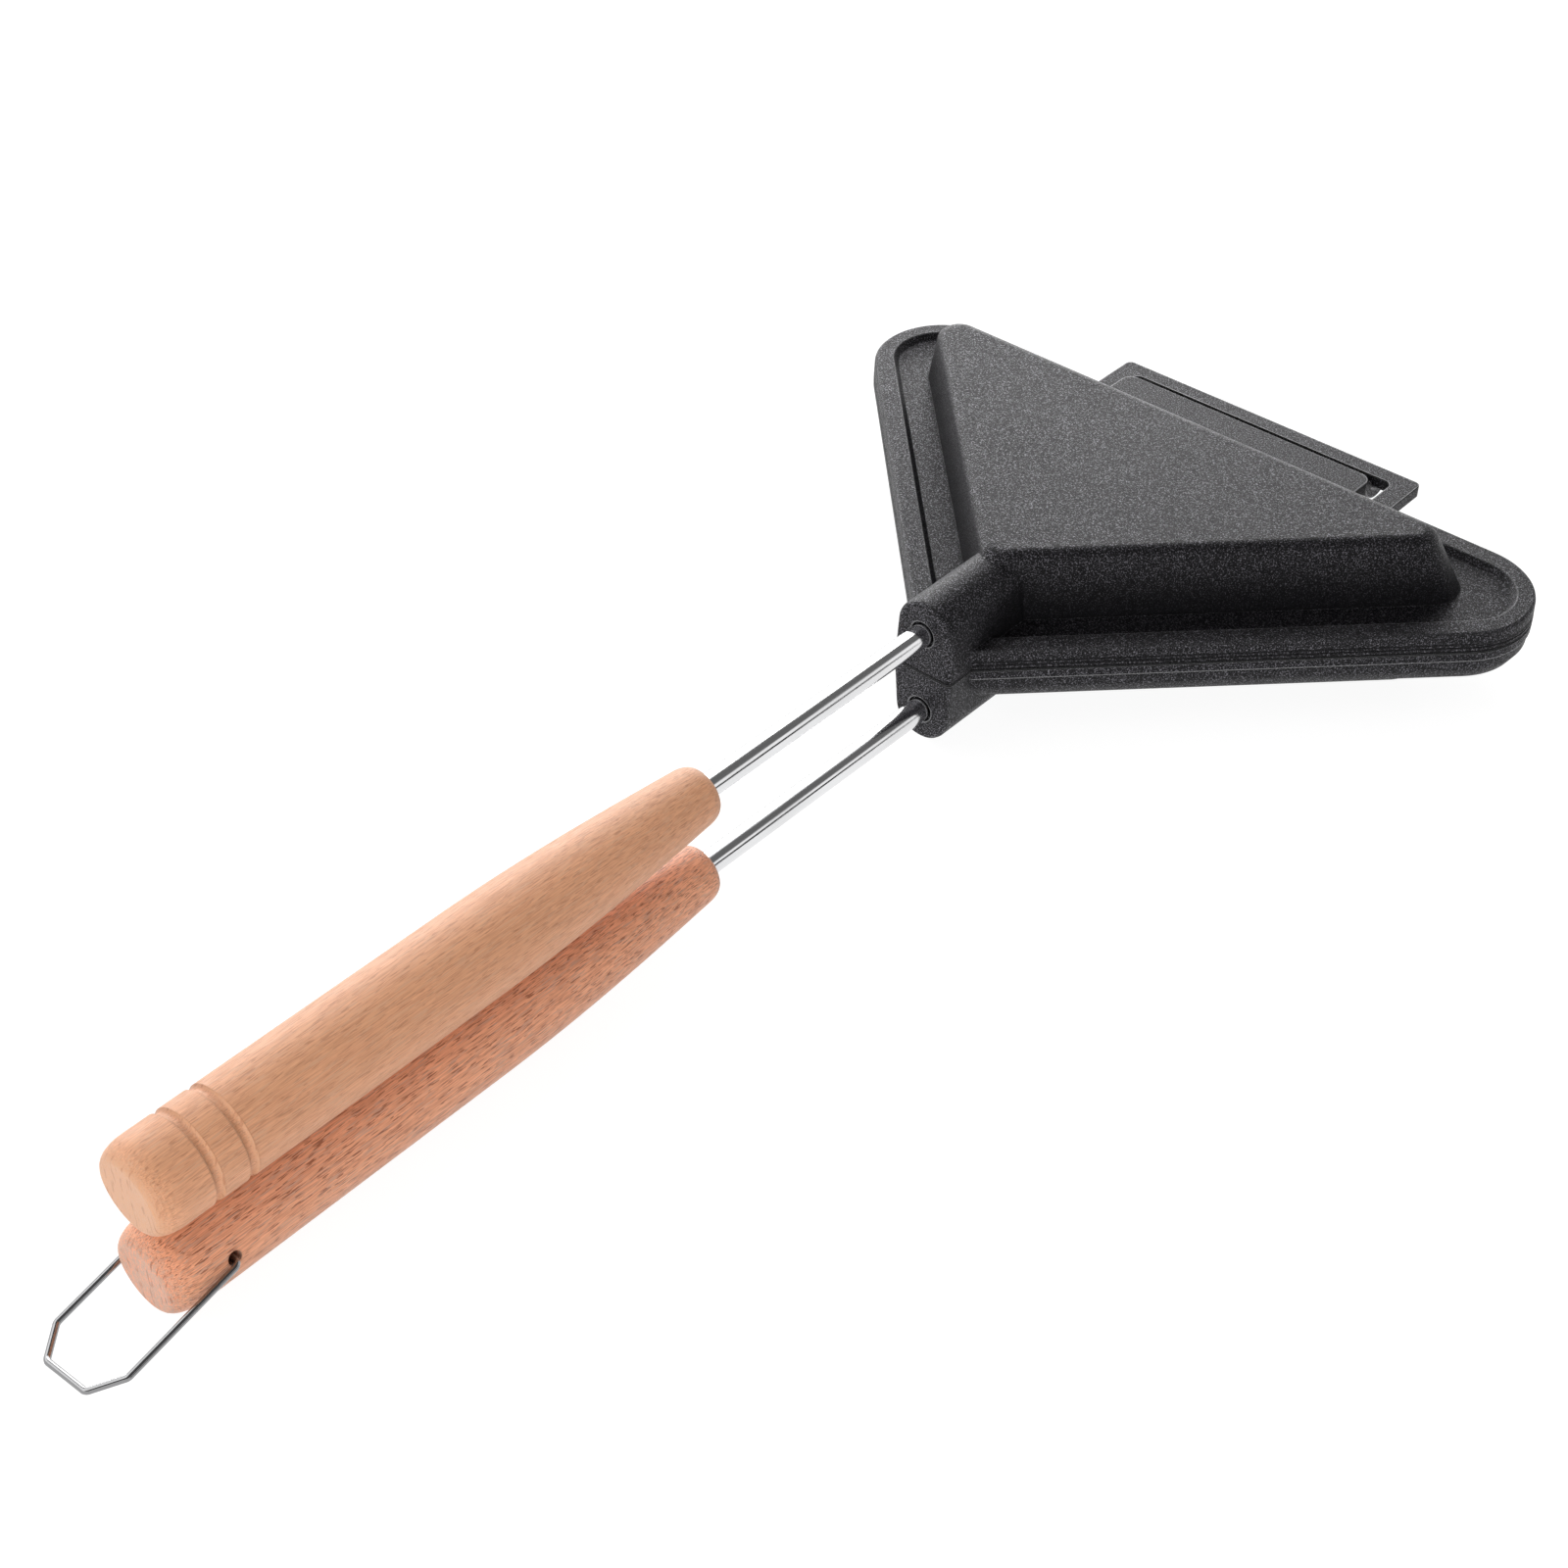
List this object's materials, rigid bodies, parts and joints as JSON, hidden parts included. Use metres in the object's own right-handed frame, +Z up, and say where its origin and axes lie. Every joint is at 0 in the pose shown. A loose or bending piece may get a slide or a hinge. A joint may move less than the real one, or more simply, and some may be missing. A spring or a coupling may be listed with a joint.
{
  "type": "stovetop sandwich maker",
  "caption": "Hinged stovetop sandwich maker: triangular cast pans on steel rods with turned wooden grips and a wire hanging loop.",
  "frame": {"origin": "middle of the lower pan's flat bottom, which rests on the hob or table", "axes": "+Z up, square to the flat bottom; +Y from the handles towards the hinge; +X across the pans, which are alike about X = 0"},
  "size_m": [0.1876, 0.3779, 0.041],
  "materials": {
    "coated_cast": "dark non-stick coating with a fine speckle, satin",
    "rod_steel": "bright polished steel",
    "upper_wood": "pale beech, sanded, waxed",
    "lower_wood": "reddish hardwood, sanded, waxed",
    "wire_steel": "bright spring wire"
  },
  "bodies": {
    "lower_half": {"lower_pan": "coated_cast", "lower_rod": "rod_steel", "lower_rod_pin": "rod_steel", "lower_grip": "lower_wood"},
    "upper_half": {"upper_pan": "coated_cast", "upper_rod": "rod_steel", "upper_rod_pin": "rod_steel", "upper_grip": "upper_wood"},
    "loop": {"hanging_loop": "wire_steel"}
  },
  "joints": [
    {"name": "pan_hinge", "type": "hinge", "parent": "lower_half", "child": "upper_half", "pos_m": [0, 0.0677, 0.0188], "axis": [-1, 0, 0], "range_deg": [0, 110]},
    {"name": "loop_swing", "type": "hinge", "parent": "lower_half", "child": "loop", "pos_m": [0.00007, -0.2741, 0.00951], "axis": [-0.989, 0, -0.1478], "range_deg": [-140, 60]}
  ]
}
